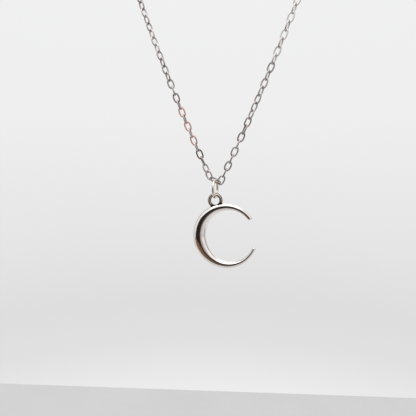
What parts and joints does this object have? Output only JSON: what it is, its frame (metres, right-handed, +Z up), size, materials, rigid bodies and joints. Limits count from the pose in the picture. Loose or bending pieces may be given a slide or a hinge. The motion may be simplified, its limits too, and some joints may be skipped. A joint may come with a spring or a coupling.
{
  "type": "pendant necklace",
  "caption": "Polished crescent pendant with a cast loop on a jump ring, hung from a fine oval-link cable chain that closes behind the neck with a lobster clasp.",
  "frame": {"origin": "midway between the two points that the necklace hangs from, where the middle of the back of the neck would be at that height", "axes": "+Z up, against the pull of gravity; -Y towards the viewer, the domed face of the crescent; +X to the viewer's right"},
  "size_m": [0.1074, 0.0061, 0.1754],
  "materials": {
    "polished_silver": "polished",
    "chain_silver": "tarnished"
  },
  "bodies": {
    "hang_links": {"left_hang_link": "chain_silver", "right_hang_link": "chain_silver"},
    "back_chain": {"back_chain_left": "chain_silver", "back_chain_right": "chain_silver", "clasp_ring": "polished_silver", "end_ring": "polished_silver", "clasp_body": "polished_silver", "clasp_rivet": "polished_silver", "clasp_spring": "polished_silver"},
    "clasp_lever": {"clasp_lever": "polished_silver"},
    "upper_front": {"left_chain_upper": "chain_silver", "right_chain_upper": "chain_silver"},
    "lower_front": {"left_chain_lower": "chain_silver", "right_chain_lower": "chain_silver"},
    "links_17_to_20": {"left_link_17": "chain_silver", "right_link_17": "chain_silver", "left_link_18": "chain_silver", "right_link_18": "chain_silver", "left_link_19": "chain_silver", "right_link_19": "chain_silver", "left_link_20": "chain_silver", "right_link_20": "chain_silver"},
    "links_13_to_16": {"left_link_13": "chain_silver", "right_link_13": "chain_silver", "left_link_14": "chain_silver", "right_link_14": "chain_silver", "left_link_15": "chain_silver", "right_link_15": "chain_silver", "left_link_16": "chain_silver", "right_link_16": "chain_silver"},
    "links_09_to_12": {"left_link_09": "chain_silver", "right_link_09": "chain_silver", "left_link_10": "chain_silver", "right_link_10": "chain_silver", "left_link_11": "chain_silver", "right_link_11": "chain_silver", "left_link_12": "chain_silver", "right_link_12": "chain_silver"},
    "links_05_to_08": {"left_link_05": "chain_silver", "right_link_05": "chain_silver", "left_link_06": "chain_silver", "right_link_06": "chain_silver", "left_link_07": "chain_silver", "right_link_07": "chain_silver", "left_link_08": "chain_silver", "right_link_08": "chain_silver"},
    "links_01_to_04": {"left_link_01": "chain_silver", "right_link_01": "chain_silver", "left_link_02": "chain_silver", "right_link_02": "chain_silver", "left_link_03": "chain_silver", "right_link_03": "chain_silver", "left_link_04": "chain_silver", "right_link_04": "chain_silver", "bottom_link": "chain_silver"},
    "jump_ring": {"jump_ring": "polished_silver"},
    "crescent": {"crescent_pendant": "polished_silver"}
  },
  "joints": [
    {"name": "back_chain_swing", "type": "hinge", "parent": "hang_links", "child": "back_chain", "pos_m": [0, 0, 0], "axis": [1, 0, 0], "range_deg": [-40, 40]},
    {"name": "clasp_lever_pivot", "type": "hinge", "parent": "back_chain", "child": "clasp_lever", "pos_m": [-0.0015, 0, -0.0311], "axis": [0, 1, 0], "range_deg": [0, 16], "stiffness_Nm_per_rad": 0.0002, "springref_deg": -17.19},
    {"name": "front_swing", "type": "hinge", "parent": "hang_links", "child": "upper_front", "pos_m": [0, 0, 0], "axis": [1, 0, 0], "range_deg": [-30, 30]},
    {"name": "front_bend", "type": "hinge", "parent": "upper_front", "child": "lower_front", "pos_m": [-0.00011, 0, -0.05568], "axis": [1, 0, -0.0094], "range_deg": [-15, 15]},
    {"name": "link_bend_20", "type": "hinge", "parent": "lower_front", "child": "links_17_to_20", "pos_m": [-0.00027, 0, -0.11076], "axis": [0.9993, 0, -0.0375], "range_deg": [-15, 15]},
    {"name": "link_bend_16", "type": "hinge", "parent": "links_17_to_20", "child": "links_13_to_16", "pos_m": [-0.00028, 0, -0.11871], "axis": [0.999, 0, -0.045], "range_deg": [-15, 15]},
    {"name": "link_bend_12", "type": "hinge", "parent": "links_13_to_16", "child": "links_09_to_12", "pos_m": [-0.00029, 0, -0.12662], "axis": [0.9984, 0, -0.0571], "range_deg": [-15, 15]},
    {"name": "link_bend_08", "type": "hinge", "parent": "links_09_to_12", "child": "links_05_to_08", "pos_m": [-0.0003, 0, -0.13448], "axis": [0.9968, 0, -0.0794], "range_deg": [-15, 15]},
    {"name": "link_bend_04", "type": "hinge", "parent": "links_05_to_08", "child": "links_01_to_04", "pos_m": [-0.00031, 0, -0.14229], "axis": [0.991, 0, -0.1339], "range_deg": [-15, 15]},
    {"name": "ring_swing", "type": "hinge", "parent": "links_01_to_04", "child": "jump_ring", "pos_m": [-0.00005, -0.00089, -0.15031], "axis": [0.9045, 0, -0.4264], "range_deg": [-20, 6]},
    {"name": "pendant_sway", "type": "hinge", "parent": "jump_ring", "child": "crescent", "pos_m": [-0.00005, -0.00089, -0.15452], "axis": [0, 1, 0], "range_deg": [-40, 40]}
  ]
}
